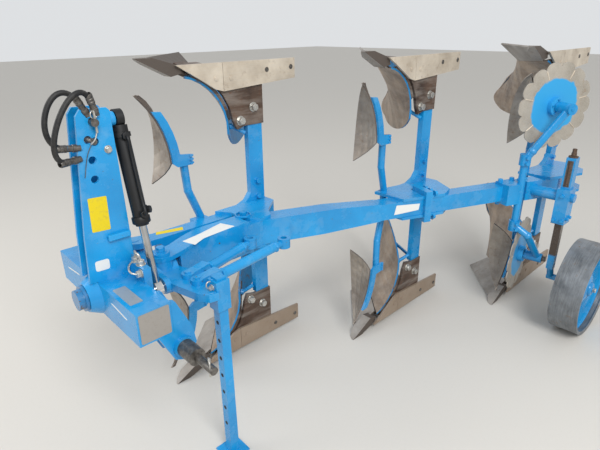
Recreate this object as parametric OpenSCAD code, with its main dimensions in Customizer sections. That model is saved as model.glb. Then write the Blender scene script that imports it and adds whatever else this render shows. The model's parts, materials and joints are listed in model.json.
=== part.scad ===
// Mounted reversible mouldboard plough with three furrows, standing parked on a floor.
// +X is the direction of travel, +Y is left and +Z is up, with the floor at z = 0.

/* [Frame of reference] */
// Distance from the first share point to the middle of the whole plough
origin_x = 1183.2; // [900:0.1:1300]
// Sideways distance from the turnover axis to the middle of the whole plough
origin_y = -85.9; // [-300:0.1:0]
// Height of the turnover axis and of the beam
axis_h = 767; // [700:1:850]

/* [Plough bodies] */
// Spacing of the bodies along the beam
body_pitch = 900; // [850:1:1000]
// Width of one furrow
furrow_w = 373; // [350:1:400]
// Landside line of the first body, from the turnover axis
land_y = -220; // [-240:1:-200]
// Width of a leg, along travel
leg_w = 84; // [70:1:100]
// Thickness of a leg
leg_t = 30; // [20:1:40]
// Middle of a leg, behind the share point
leg_back = 560; // [540:1:580]
// Height of the frog's top, where the leg ends
frog_h = 318; // [300:1:340]
// Reach of a console's flared plate above and below the axis
flare_h = 183; // [150:1:220]
// Thickness of a mouldboard
board_t = 9; // [6:0.5:12]
// Thickness of a landside plate
landside_t = 12; // [8:1:16]
// Height of a landside's lower edge over the floor
landside_lift = 32; // [20:1:45]
// Height of a landside at its joint
landside_h = 120; // [90:1:140]

/* [Beam] */
// Side of the square beam tube
beam_w = 85; // [70:1:100]
// Height of the front beam and the box arm
front_h = 120; // [100:1:130]
// Beam centre's sideways place at the first leg, from the turnover axis
beam_y = 8; // [0:1:20]
// End of the beam ahead of the last leg, along the beam
beam_short = 298; // [270:1:330]
// Place of the bolted flange ahead of the second leg, along the beam
flange_ahead = 227; // [200:1:250]
// Thickness of a console plate
plate_t = 15; // [10:1:20]

/* [Headstock] */
// Outer width of the tower
tower_w = 80; // [76:1:100]
// Thickness of a tower plate
tower_t = 12; // [8:1:16]
// Height of the top-link pin
top_pin_z = 1371; // [1340:1:1385]
// Side of the cross tube
cross_w = 120; // [110:1:130]
// Length of the cross tube
cross_len = 650; // [600:1:700]
// Middle of the cross tube, ahead of the first share point
cross_x = 305; // [300:1:310]
// Radius of the turnover shaft
shaft_r = 40; // [35:0.5:45]
// Radius of the top-link pin
top_pin_r = 12.7; // [11:0.1:14]
// Radius of a lower-link pin
low_pin_r = 14; // [12:0.1:16]
// Distance between the shoulders of the lower-link pins
low_span = 825; // [800:1:850]
// Height of the lower-link pins
low_pin_z = 640; // [620:1:660]

/* [Turnover cylinder] */
// Place of the cylinder along travel
ram_x = 188; // [184:1:190]
// Height of the cylinder's upper pin
ram_z = 1366; // [1340:1:1380]
// Radius of the cylinder's crank
crank_r = 120; // [112:1:125]
// Radius of the barrel
barrel_r = 26; // [22:1:27]
// Radius of the rod
rod_r = 14; // [11:1:16]

/* [Stand and wheel] */
// Side of the stand's square tube
stand_w = 38; // [30:1:45]
// Radius of the depth wheel
wheel_r = 263; // [240:1:280]
// Width of the depth wheel
wheel_w = 150; // [120:1:170]
// Sideways place of the wheel's middle, outside the last body's landside line
wheel_out = 429; // [420:1:450]
// Place of the wheel's axle behind the last share point
wheel_behind = 125; // [110:1:140]
// Place of the wheel arm's pivot behind the last share point
swing_behind = 90; // [75:1:100]

/* [Coulters and skimmers] */
// Radius of a coulter disc
disc_r = 225; // [200:1:250]
// Number of notches of a disc
disc_notches = 14; // [10:1:18]
// Radius of a skimmer's round stem
stem_r = 18; // [15:0.5:20]

/* [Hidden] */
$fn = 48;
run_gap = 0.05;
seat_gap = 0.3;
BLUE = "DodgerBlue";
STEEL = "RosyBrown";
PALE = "Silver";
DARK = "DimGray";
furrows = [1, 2, 3];

beam_slope = furrow_w / body_pitch;
beam_angle = atan(beam_slope);
leg_front = leg_back - leg_w / 2;
leg_rear = leg_back + leg_w / 2;
leg_step = body_pitch / cos(beam_angle);
beam_end = 2 * leg_step - beam_short;
flange_at = leg_step - flange_ahead;
last_point = [-2 * body_pitch, land_y + 2 * furrow_w];
wheel_back = wheel_behind - last_point[0];
swing_back = swing_behind - last_point[0];
wheel_y = last_point[1] + wheel_out;
cross_rear = cross_x - cross_w / 2;
cross_front = cross_x + cross_w / 2;
crank_y = crank_r;
ram_len = sqrt(pow(ram_z - axis_h, 2) + pow(crank_r, 2));
ram_tilt = atan(crank_r / (ram_z - axis_h));
head_front = ram_x - 22;
low_pin_x = 218;
top_pin_x = 287;
pivot = [107, 15];
arm_pin = [110, -205];
arm_y = land_y + 35;
arm_w = 70;

function lerp(a, b, t) = a + (b - a) * t;
function bez(p, t) = pow(1 - t, 3) * p[0] + 3 * t * pow(1 - t, 2) * p[1] + 3 * t * t * (1 - t) * p[2] + pow(t, 3) * p[3];
function unit(v) = v / norm(v);

module place() translate([origin_x, origin_y, 0]) children();
module at_axis() translate([0, 0, axis_h]) children();
module at_body(k) translate([-(k - 1) * body_pitch, land_y + (k - 1) * furrow_w, 0]) children();
module both_sets() {
    children();
    translate([0, 0, 2 * axis_h]) mirror([0, 0, 1]) children();
}
module along_x(x0, x1, r) translate([x0, 0, 0]) rotate([0, 90, 0]) cylinder(h = x1 - x0, r = r);
module along_y(y0, y1, r) translate([0, y0, 0]) rotate([-90, 0, 0]) cylinder(h = y1 - y0, r = r);
module side_plate(y0, t, pts) translate([0, y0 + t, 0]) rotate([90, 0, 0]) linear_extrude(t) polygon(pts);
module flat_plate(z0, t, pts) translate([0, 0, z0]) linear_extrude(t) polygon(pts);
// A round bar between two points
module bar(a, b, r) {
    d = b - a;
    translate(a) rotate([0, acos(d[2] / norm(d)), atan2(d[1], d[0])]) cylinder(h = norm(d), r = r);
}

// Headstock
module tower() place() color(BLUE) {
    edge = [[388, axis_h + cross_w / 2], [377, 995], [334, 1392], [318, 1412], [236, 1410], [226, 1400], [222, 976],
        [222, axis_h + cross_w / 2]];
    difference() {
        for (s = [-1, 1])
            side_plate(s > 0 ? tower_w / 2 - tower_t : -tower_w / 2, tower_t, edge);
        translate([top_pin_x, 0, top_pin_z]) along_y(-tower_w, tower_w, top_pin_r + run_gap);
        for (h = [[306, 1251], [309, 1188]])
            translate([h[0], 0, h[1]]) along_y(-tower_w, tower_w, 13);
        for (dx = [-10, 10])
            translate([299 + dx, 0, 1313 + dx * 0.4]) along_y(-tower_w, tower_w, 13);
        at_axis() along_x(cross_front - 4, cross_front + 40, 74 + seat_gap);
        at_axis() along_x(200, cross_front, 62 + seat_gap);
    }
    side_plate(-tower_w / 2 + tower_t, tower_w - 2 * tower_t, [[222, axis_h + 63], [222, 976], [225, 1330],
        [233, 1330], [230, 976], [230, axis_h + 63]]);
    translate([0, 0, ram_z]) along_x(ram_x - 18, 226, 15.9);
    translate([0, 0, ram_z]) along_x(ram_x + 15, 226, 24);
    side_plate(-tower_w / 2 + tower_t, tower_w - 2 * tower_t, [[226, ram_z - 30], [226, ram_z + 28],
        [240, ram_z + 28], [240, ram_z - 30]]);
    for (h = hoses) {
        bar(h[0] - 45 * unit(h[1] - h[0]), h[0] - seat_gap * unit(h[1] - h[0]), 9.5);
        bar(h[3] - 45 * unit(h[2] - h[3]), h[3] - seat_gap * unit(h[2] - h[3]), 9.5);
    }
}

// Two oil hoses, each leaving a coupling on the tower, swinging forward and coming back to a lower one
hose_r = 8.5;
hose_y = tower_w / 2 - 3.5;
hoses = [[[312, hose_y, 1426], [380, hose_y, 1560], [490, hose_y, 1312], [376, hose_y, 1300]],
    [[282, hose_y + 14, 1428], [330, hose_y + 54, 1570], [500, hose_y + 54, 1262], [380, hose_y + 14, 1262]]];
module hose(p) {
    rings = 28;
    sides = 10;
    function ring(i) = let (t = i / rings, ahead = unit(bez(p, min(t + 0.01, 1)) - bez(p, max(t - 0.01, 0))),
        b = unit(cross(ahead, [0, 1, 0])), c = cross(ahead, b))
        [for (j = [0:sides - 1]) bez(p, t) + hose_r * (cos(360 * j / sides) * b + sin(360 * j / sides) * c)];
    function at(i, j) = i * sides + (j % sides);
    polyhedron([for (i = [0:rings]) each ring(i)], concat(
        [for (j = [1:sides - 2]) [0, j, j + 1]],
        [for (j = [1:sides - 2]) [at(rings, 0), at(rings, j + 1), at(rings, j)]],
        [for (i = [0:rings - 1]) for (j = [0:sides - 1]) each [[at(i, j), at(i + 1, j), at(i + 1, j + 1)],
            [at(i, j), at(i + 1, j + 1), at(i, j + 1)]]]));
}
module hose_inner() place() color("Black") hose(hoses[0]);
module hose_outer() place() color("Black") hose(hoses[1]);

module cross_tube() place() color(BLUE) difference() {
    union() {
        translate([cross_rear, -cross_len / 2, axis_h - cross_w / 2]) cube([cross_w, cross_len, cross_w]);
        at_axis() along_x(222, cross_front, 62);
        at_axis() translate([cross_front, 0, 0]) rotate([0, 90, 0]) cylinder(h = 38, r1 = 74, r2 = 54);
        translate([222, 60, axis_h]) cube([28, 105, 115]);
    }
    at_axis() along_x(150, 450, shaft_r + run_gap);
}

module link_bracket() {
    cheek = [[cross_rear + 6, axis_h + cross_w / 2 - 4], [228, axis_h + 50], [176, 700], [166, 634], [186, 596],
        [218, 584], [252, 600], [300, axis_h - cross_w / 2], [cross_rear, axis_h - cross_w / 2], [cross_rear, axis_h]];
    difference() {
        union() {
            side_plate(cross_len / 2 - 20, 20, cheek);
            side_plate(cross_len / 2 - 105, 16, cheek);
            translate([low_pin_x, 0, low_pin_z]) along_y(cross_len / 2 - 110, cross_len / 2 + 12, 38);
        }
        translate([low_pin_x, 0, low_pin_z]) along_y(cross_len / 2 - 140, cross_len / 2 + 40, 22 + run_gap);
        translate([cross_rear - 0.5, 0, axis_h - cross_w / 2 - 0.5]) cube([cross_w, cross_len, cross_w]);
    }
}
module link_bracket_left() place() color(BLUE) link_bracket();
module link_bracket_right() place() color(BLUE) mirror([0, 1, 0]) link_bracket();

module link_pin() translate([low_pin_x, 0, low_pin_z]) difference() {
    union() {
        along_y(cross_len / 2 - 118, cross_len / 2 + 12 + seat_gap, 22);
        along_y(cross_len / 2 + 12 + seat_gap, low_span / 2, 31);
        along_y(low_span / 2, low_span / 2 + 98, low_pin_r);
    }
    translate([0, low_span / 2 + 72, -30]) cylinder(h = 60, r = 5.5);
}
module link_pin_left() place() color(DARK) link_pin();
module link_pin_right() place() color(DARK) mirror([0, 1, 0]) link_pin();

module top_link_pin() place() color(DARK) translate([top_pin_x, 0, top_pin_z]) difference() {
    union() {
        along_y(-tower_w / 2 - 8, tower_w / 2 + 26, top_pin_r);
        along_y(-tower_w / 2 - 14, -tower_w / 2 - seat_gap, 20);
    }
    translate([0, tower_w / 2 + 16, -30]) cylinder(h = 60, r = 4);
}

// The turnover cylinder leans from its upper pin to the crank
module ram_frame() translate([ram_x, 0, ram_z]) rotate([ram_tilt, 0, 0]) children();
module ram_barrel() place() color("Black") ram_frame() difference() {
    union() {
        along_x(-13, 13, 30);
        translate([0, 0, -350]) cylinder(h = 326, r = barrel_r);
        translate([0, 0, -362]) cylinder(h = 24, r = barrel_r);
    }
    along_x(-40, 40, 16);
    translate([0, 0, -400]) cylinder(h = 340, r = rod_r + 0.3);
}
module ram_rod() place() color(PALE) ram_frame() {
    difference() {
        union() {
            translate([0, 0, -ram_len]) cylinder(h = ram_len - 220, r = rod_r);
            translate([0, 0, -ram_len]) along_x(-13, 13, 28);
        }
        translate([0, 0, -ram_len]) along_x(-30, 30, 15.3);
    }
    translate([0, 0, -ram_len]) along_x(-20, 17, 15.2);
}

// Turning frame
module turnover_shaft() place() color(DARK) at_axis() {
    along_x(130, 410, shaft_r);
    along_x(404, 414, 47);
    along_x(414, 434, 37);
}
head_h = front_h - 4 - 2 * seat_gap;
module turning_head() place() color(BLUE) difference() {
    union() {
        at_axis() along_x(60, head_front - 15, head_h / 2);
        at_axis() along_x(head_front - 25, head_front, 55);
        translate([pivot[0], pivot[1], axis_h - head_h / 2]) cylinder(h = head_h, r = 44);
        flat_plate(axis_h - 20, 40, [[150, 50], [150, -50], [142, -250], [84, -250], [62, -50], [62, 50]]);
        flat_plate(axis_h - 15, 30, [[150, -50], [165, 40], [163, 90], [142, 172], [118, 279], [96, 318],
            [60, 325], [20, 300], [2, 255], [10, 150], [50, 60], [62, -50]]);
        translate([0, crank_y, axis_h]) along_x(head_front - 22, head_front, 30);
        translate([head_front - 22, 0, axis_h - 30]) cube([21, crank_y, 60]);
    }
    at_axis() along_x(129, 400, shaft_r + seat_gap);
    translate([pivot[0], pivot[1], 0]) cylinder(h = 2 * axis_h, r = 20 + run_gap);
    translate([arm_pin[0], arm_pin[1], 0]) cylinder(h = 2 * axis_h, r = 16 + run_gap);
    for (p = head_holes)
        translate([p[0], p[1], 0]) cylinder(h = 2 * axis_h, r = 12.8 + run_gap);
    stand_room(seat_gap);
}
head_holes = [[76, 150], [76, 212]];
module pivot_pin() place() color(BLUE) {
    translate([pivot[0], pivot[1], axis_h - 78]) cylinder(h = 156, r = 20);
    translate([pivot[0], pivot[1], axis_h + front_h / 2 + plate_t + seat_gap]) cylinder(h = 9, r = 34);
    translate([arm_pin[0], arm_pin[1], axis_h - 62]) cylinder(h = 124, r = 16);
}

module box_arm() place() color(BLUE) difference() {
    union() {
        translate([-leg_rear, arm_y - arm_w / 2, axis_h - front_h / 2]) cube([leg_rear + 20, arm_w, front_h]);
        for (s = [-1, 1])
            flat_plate(axis_h + (s > 0 ? front_h / 2 - 25 : -front_h / 2), 25, [[20, arm_y + 35], [110, arm_y + 25],
                [150, arm_y], [150, arm_y - 40], [110, arm_y - 65], [20, arm_y - 35]]);
    }
    translate([arm_pin[0], arm_pin[1], 0]) cylinder(h = 2 * axis_h, r = 16 + run_gap);
}

// The front beam curves from the head's pivot into the straight beam line
function beam_mid(x) = beam_y - beam_slope * (x + leg_back);
front_line = [[45, 6, 44], [0, -14, 46], [-60, -38, 49], [-130, -52, 52], [-280, -52, 54], [-409, -54, 52]];
function on_line(l, w) = [-leg_back, beam_y] + l * [-cos(beam_angle), sin(beam_angle)] + w * [sin(beam_angle), cos(beam_angle)];
deep_end = flange_at - 270;
front_near = concat([for (p = front_line) [p[0], p[1] + p[2]]], [on_line(0, beam_w / 2 + 5), on_line(deep_end, beam_w / 2 + 1)]);
front_far = concat([for (p = front_line) [p[0], p[1] - p[2]]], [on_line(0, -beam_w / 2 - 5), on_line(deep_end, -beam_w / 2 - 1)]);
module front_beam() place() color(BLUE) {
    intersection() {
        flat_plate(axis_h - front_h / 2, front_h, concat(front_near, [for (i = [len(front_far) - 1:-1:0]) front_far[i]]));
        side_plate(-800, 1600, [[60, axis_h + front_h / 2], [60, axis_h - front_h / 2],
            [200 - body_pitch, axis_h - front_h / 2], [-130 - body_pitch, axis_h - beam_w / 2 - 1],
            [-130 - body_pitch, axis_h + beam_w / 2 + 1], [140 - body_pitch, axis_h + front_h / 2]]);
    }
    on_beam(flange_at) translate([0, -beam_w / 2, -beam_w / 2]) cube([flange_at - deep_end + 8, beam_w, beam_w]);
    on_beam(flange_at) beam_flange();
    leaf = [[pivot[0] + 20, pivot[1] + 44], [pivot[0] - 20, pivot[1] + 48], [30, 46], [-60, 11], [-130, 0], [-330, 0],
        [-330, -104], [-130, -104], [-60, -86], [0, -60], [45, -38], [pivot[0] - 20, pivot[1] - 46],
        [pivot[0] + 20, pivot[1] - 44], [pivot[0] + 46, pivot[1] - 20], [pivot[0] + 46, pivot[1] + 20]];
    difference() {
        for (z = [axis_h + front_h / 2 - 2, axis_h - front_h / 2 - plate_t])
            flat_plate(z, plate_t + 2, leaf);
        translate([pivot[0], pivot[1], 0]) cylinder(h = 2 * axis_h, r = 20 + run_gap);
    }
}
module on_beam(l) translate([-leg_back, beam_y, axis_h]) rotate([0, 0, -beam_angle]) translate([-l, 0, 0]) children();
flange_t = 20;
flange_box = [flange_t, 124, 165];
module beam_flange() translate([0, -flange_box[1] / 2, -flange_box[2] / 2]) cube(flange_box);
module rear_beam() place() color(BLUE) {
    on_beam(beam_end) translate([0, -beam_w / 2, -beam_w / 2]) cube([beam_end - flange_at, beam_w, beam_w]);
    on_beam(flange_at + flange_t) beam_flange();
}
// What is clamped on the beam leaves out the beam itself
module beam_room(gap) on_beam(beam_end + 100) translate([0, -beam_w / 2 - gap, -beam_w / 2 - gap])
    cube([beam_end, beam_w + 2 * gap, beam_w + 2 * gap]);

fork_end = 78;
// A turnbuckle: a tube with a fork at the head and an eye at the beam
module turnbuckle(a, b) {
    d = b - a;
    translate([a[0], a[1], axis_h]) rotate([0, 0, atan2(d[1], d[0])]) {
        difference() {
            union() {
                for (z = [15 + seat_gap, -33 - seat_gap])
                    translate([0, 0, z]) {
                        cylinder(h = 18, r = 24);
                        translate([0, -20, 0]) cube([fork_end + 10, 40, 18]);
                    }
                translate([fork_end, -20, -33]) cube([24, 40, 66]);
                along_x(fork_end + 20, norm(d) - 20, 15);
                along_x(fork_end + 50, norm(d) - 70, 21);
                translate([norm(d), 0, -22]) cylinder(h = 44, r = 28);
            }
            translate([norm(d), 0, -50]) cylinder(h = 100, r = 14.05);
        }
        translate([0, 0, -40]) cylinder(h = 80, r = 12.8);
    }
}
inner_eye = [-300, 42];
outer_eye = [-405, 145];
module turnbuckle_inner() place() color(BLUE) turnbuckle(head_holes[0], inner_eye);
module turnbuckle_outer() place() color(BLUE) turnbuckle(head_holes[1], outer_eye);

// Consoles carry the legs and the skimmer stems
stem_at = [-234, -25];
module console_plate(half) for (z = [axis_h + half, axis_h - half - plate_t])
    difference() {
        flat_plate(z, plate_t, [[-leg_rear, -leg_t], [-leg_rear, 70], [-520, 200], [-430, 226], [-330, 186],
            [-200, 130], [-198, -55], [-275, -55], [-380, -leg_t]]);
        translate([stem_at[0], stem_at[1], 0]) cylinder(h = 2 * axis_h, r = stem_r + run_gap);
    }
module flare_plate() at_axis() difference() {
    arc_r = flare_h - 60;
    side_plate(-leg_t, leg_t, [[-leg_rear, flare_h], [-leg_front, flare_h], [-leg_front, 60 + arc_r * 0.45],
        [-leg_front + arc_r * 0.25, 60 + arc_r * 0.15], [-leg_front + arc_r, 42], [-leg_front + arc_r, -42],
        [-leg_front + arc_r * 0.25, -60 - arc_r * 0.15], [-leg_front, -60 - arc_r * 0.45], [-leg_front, -flare_h],
        [-leg_rear, -flare_h]]);
}
module console_1() place() color(BLUE) at_body(1) {
    flare_plate();
    difference() {
        translate([-275, -60, axis_h - 50]) cube([77, 60 - seat_gap, 100]);
        translate([stem_at[0], stem_at[1], 0]) cylinder(h = 2 * axis_h, r = stem_r + run_gap);
    }
    for (z = [axis_h + front_h / 2, axis_h - front_h / 2 - plate_t])
        flat_plate(z + (z > axis_h ? run_gap : -run_gap), plate_t, [[-leg_rear, 0], [-leg_rear, 70], [-500, 150],
            [-460, 215], [-400, 222], [-360, 190], [-345, 120], [-345, 70], [-300, 0]]);
}
module console_rear(k) at_body(k) {
    flare_plate();
    console_plate(beam_w / 2 + run_gap);
    translate([-leg_rear, -0.5, axis_h - beam_w / 2 - 1]) cube([leg_rear - 330, 60, beam_w + 2]);
}
module console_2() place() color(BLUE) difference() {
    console_rear(2);
    on_beam(flange_at + flange_t + 0.5) translate([0, -80, -100]) cube([2 * flange_t + 1, 160, 200]);
}
module console_3() place() color(BLUE) console_rear(3);

module legs(k) place() color(BLUE) at_body(k) both_sets()
    translate([-leg_rear, -leg_t, frog_h]) cube([leg_w, leg_t, axis_h - flare_h - frog_h]);

// A curved sheet: f(u, v) is a point of it, and its thickness runs from near to far along n(u, v)
module sheet(f, n, us, vs, near, far) {
    a = len(us);
    b = len(vs);
    function id(s, i, j) = s * a * b + i * b + j;
    pts = [for (d = [near, far]) for (u = us) for (v = vs) f(u, v) + d * n(u, v)];
    quads = concat(
        [for (i = [0:a - 2]) for (j = [0:b - 2]) for (q = [
            [id(0, i, j), id(0, i, j + 1), id(0, i + 1, j + 1), id(0, i + 1, j)],
            [id(1, i, j), id(1, i + 1, j), id(1, i + 1, j + 1), id(1, i, j + 1)]]) q],
        [for (j = [0:b - 2]) for (q = [
            [id(0, 0, j), id(1, 0, j), id(1, 0, j + 1), id(0, 0, j + 1)],
            [id(0, a - 1, j + 1), id(1, a - 1, j + 1), id(1, a - 1, j), id(0, a - 1, j)]]) q],
        [for (i = [0:a - 2]) for (q = [
            [id(0, i + 1, 0), id(1, i + 1, 0), id(1, i, 0), id(0, i, 0)],
            [id(0, i, b - 1), id(1, i, b - 1), id(1, i + 1, b - 1), id(0, i + 1, b - 1)]]) q]);
    polyhedron(pts, [for (q = quads) for (t = [[q[0], q[2], q[1]], [q[0], q[3], q[2]]]) t]);
}
function steps(a, b, n) = [for (i = [0:n]) lerp(a, b, i / n)];

// Mouldboard: a patch blended from its four edges
shin = [[-205, 0, 77], [-295, -2, 88], [-430, -6, 186], [-422, -16, 351]];
tail = [[-909, -525, 254], [-1040, -640, 385], [-1010, -685, 405], [-945, -555, 468]];
upper_edge = [shin[3], [-530, -134, 489], [-809, -449, 489], tail[3]];
// The lower edge is straight along the share's seam and then curves up to the tail
seam = [shin[0], [-431, -247, 98]];
seam_end = 4 / 12;
free_edge = [seam[1], [-604, -376, 39], [-854, -324, 88], tail[0]];
function lower_edge(v) = v <= seam_end ? lerp(seam[0], seam[1], v / seam_end)
    : bez(free_edge, (v - seam_end) / (1 - seam_end));
function patch(u, v) = (1 - u) * lower_edge(v) + u * bez(upper_edge, v)
    + (1 - v) * bez(shin, u) + v * bez(tail, u)
    - (1 - u) * (1 - v) * shin[0] - (1 - u) * v * tail[0] - u * (1 - v) * shin[3] - u * v * tail[3];
function normal_of(f, u, v) = let (e = 0.01, a = min(u, 1 - e), b = min(v, 1 - e))
    unit(cross(f(a + e, b) - f(a, b), f(a, b + e) - f(a, b)));
patch_n = function (u, v) normal_of(function (a, b) patch(a, b), u, v);
board_u = steps(0, 1, 8);
board_v = steps(0, 1, 12);
module mouldboard() sheet(function (u, v) patch(u, v), patch_n, board_u, board_v, 0, board_t);
module mouldboards(k) place() color(STEEL) at_body(k) both_sets() mouldboard();

// Share: a blade from the mouldboard's lower edge down to its cutting edge, with a chisel point
share_start = 0.1;
cut_edge = [[-60, -45, 1], [-405, -362, 1]];
share_gap = [2.4, -2, -2.8];
function share_at(u, v) = lerp(lerp(cut_edge[0], cut_edge[1], v),
    lerp(seam[0], seam[1], lerp(share_start, 1, v)) + share_gap, u);
share_n = function (u, v) normal_of(function (a, b) share_at(a, b), u, v);
module share() {
    sheet(function (u, v) share_at(u, v), share_n, [0, 0.5, 1], steps(0, 1, 7), 0, board_t);
    intersection() {
        side_plate(-60, 58, [[0, 0], [-75, 0], [-190, 34], [-200, 66], [-150, 76]]);
        flat_plate(-1, 90, [[1, -1], [0, -12], [-16, -34], [-56, -58], [-210, -61], [-210, -1]]);
    }
}
module shares(k) place() color(STEEL) at_body(k) both_sets() share();

// Frog: the side plate below the leg, with the seats that carry mouldboard and share
seat_t = 14;
module frog() {
    side_plate(-12, 12 + 5, concat([[-610, 40], [-610, frog_h], [-500, frog_h], [-455, 330]],
        [for (t = [0.9, 0.75, 0.6, 0.45, 0.3]) [bez(shin, t)[0] - 16, bez(shin, t)[2] - 14]], [[-260, 40]]));
    flat_plate(40, 12, [[-255, -5], [-246, -100], [-352, -206], [-400, -206], [-330, -5]]);
    sheet(function (u, v) patch(u, v), patch_n, steps(1 / 8, 6 / 8, 5), steps(0, 0.25, 3), -seat_t, -seat_gap);
    sheet(function (u, v) share_at(u, v), share_n, [0.5, 0.9], steps(2 / 7, 5 / 7, 3), -seat_t, -seat_gap);
}
module frogs(k) place() color(STEEL) at_body(k) both_sets() frog();

// Landside: a front plate behind the shin and a rear plate
module landsides(k) place() color(PALE) at_body(k) both_sets() {
    top = landside_lift + landside_h;
    side_plate(5, landside_t, [[-165, landside_lift], [-388 + 1, landside_lift], [-388 + 1, top], [-345, top - 12],
        [-290, 105], [-230, 70]]);
    side_plate(5, landside_t, [[-388 - 1, landside_lift], [-808, landside_lift], [-808, top - 28], [-388 - 1, top]]);
}

// Stays: a bar from the leg's front and a brace from the frog's back, each with a pad on the mouldboard
pads = [["bar from", "u", "v"], [[-leg_front + 6.5, -15, 356], 7 / 8, 1 / 12], [[-610.5, -15, 270], 4 / 8, 8 / 12]];
module stay(from, u, v) {
    seat = patch(u, v) - 3.3 * seat_gap * patch_n(u, v);
    bar(seat - 14 * patch_n(u, v), seat, 14);
    bar(from, seat - 11 * patch_n(u, v), 10);
}
module stays(k) place() color(BLUE) at_body(k) both_sets()
    for (i = [1, 2])
        stay(pads[i][0], pads[i][1], pads[i][2]);

// Skimmers: a small mouldboard on a plate that is welded to a bent round stem
stem = [[-234, -25, axis_h], [-234, -25, axis_h - 67], [-172, -4, 560], [-156, 9, 412]];
module skimmer_stem() {
    for (i = [0:2])
        bar(stem[i] - (i == 0 ? [0, 0, 0.5] : [0, 0, 0]), stem[i + 1], stem_r);
    for (i = [1, 2])
        translate(stem[i]) sphere(r = stem_r + 0.5);
    side_plate(20.3, 12.7, concat([for (u = leaf_u) [bez(skim_in, u)[0], bez(skim_in, u)[2]]],
        [[-118, 436], [-190, 436], [-190, 392], [-136, 385]],
        [for (i = [len(leaf_u) - 2:-1:0]) [bez(skim_in, leaf_u[i])[0] - 38, bez(skim_in, leaf_u[i])[2] + 4]]));
}
module skimmer_stems(k) place() color(BLUE) at_body(k) both_sets() skimmer_stem();
leaf_u = [0.3, 0.45, 0.6, 0.75, 0.9, 1];
skim_in = [[30, 20, 131], [-45, 20, 190], [-95, 20, 300], [-98, 20, 420]];
skim_out = [[10, 5, 131], [-120, -120, 190], [-130, -140, 370], [-52, -87, 522]];
function skim(u, v) = lerp(bez(skim_in, u), bez(skim_out, u), v) + 14 * sin(180 * v) * [-1, 0.4, 0];
skim_n = function (u, v) normal_of(function (a, b) skim(a, b), u, v);
module skimmers(k) place() color(STEEL) at_body(k) both_sets()
    sheet(function (u, v) skim(u, v), skim_n, steps(0, 1, 8), steps(0, 1, 4), 0, 7);

// Notched disc coulters beside the last body, each free to trail round the post
post_x = last_point[0] + 25;
post = [post_x, beam_mid(post_x) + beam_w / 2 + 31];
coulters = [["height of the disc's middle", "x", "y", "swivel"],
    [1233, last_point[0] - 118, last_point[1] + 106, 28],
    [352, last_point[0] - 115, last_point[1] + 64, -8]];
arm_out = 105;
post_reach = 192;
post_top = post_reach + 14;
module notched(r, n, depth) polygon([for (i = [0:n * 8 - 1]) let (a = i * 360 / (n * 8))
    (r - depth * pow(1 - abs(cos(a * n / 2)), 2)) * [cos(a), sin(a)]]);
module at_disc(i) translate([coulters[i][1], coulters[i][2], coulters[i][0]]) rotate([0, 0, -coulters[i][3]]) children();
module disc() difference() {
    union() {
        translate([0, 3, 0]) rotate([90, 0, 0]) linear_extrude(6) notched(disc_r, disc_notches, 24);
        along_y(-12, 30, 48);
    }
    along_y(-20, 60, 14 + run_gap);
}
function arm_end(i) = [coulters[i][1] + arm_out * sin(coulters[i][3]), coulters[i][2] + arm_out * cos(coulters[i][3]), coulters[i][0]];
module coulter_post() place() color(BLUE) difference() {
    union() {
        translate([post[0], post[1], axis_h - post_top]) cylinder(h = 2 * post_top, r = 20);
        on_beam((-post[0] - leg_back) / cos(beam_angle)) translate([-40, -20, -beam_w / 2 - 15])
            cube([110, 105, beam_w + 30]);
    }
    beam_room(seat_gap);
}
module coulter_arm(i) place() color(BLUE) {
    s = i == 1 ? 1 : -1;
    sleeve = [post[0], post[1], axis_h + s * post_reach];
    crook = sleeve + [-15, i == 1 ? 25 : 80, s * 48];
    difference() {
        union() {
            translate(sleeve - [0, 0, 30]) cylinder(h = 60, r = 30);
            bar(sleeve, crook, 20);
        }
        translate([post[0], post[1], axis_h - post_top - seat_gap])
            cylinder(h = 2 * post_top + 2 * seat_gap, r = 20 + seat_gap);
    }
    bar(crook, arm_end(i), 20);
    translate(crook) sphere(r = 23);
    at_disc(i) along_y(32, arm_out + 25, 28);
    at_disc(i) along_y(-18, arm_out, 14);
}
module coulter_arm_upper() coulter_arm(1);
module coulter_arm_lower() coulter_arm(2);
module disc_upper() place() color(PALE) at_disc(1) disc();
module disc_lower() place() color(PALE) at_disc(2) disc();

// Parking stand
stand_at = [37, 292];
socket_w = stand_w + 18;
module stand_room(gap) translate([stand_at[0] - socket_w / 2 - gap, stand_at[1] - socket_w / 2 - gap, 0])
    cube([socket_w + 2 * gap, socket_w + 2 * gap, 2 * axis_h]);
module stand_socket() place() color(BLUE) difference() {
    translate([stand_at[0] - socket_w / 2, stand_at[1] - socket_w / 2, axis_h - 70]) cube([socket_w, socket_w, 120]);
    translate([stand_at[0] - stand_w / 2 - seat_gap, stand_at[1] - stand_w / 2 - seat_gap, 0])
        cube([stand_w + 2 * seat_gap, stand_w + 2 * seat_gap, 2 * axis_h]);
}
module stand_leg() place() color(BLUE) {
    translate([stand_at[0] - stand_w / 2, stand_at[1] - stand_w / 2, 7]) cube([stand_w, stand_w, axis_h + 53]);
    translate([stand_at[0] - 50, stand_at[1] - 50, 0]) cube([100, 100, 8]);
}

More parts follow.
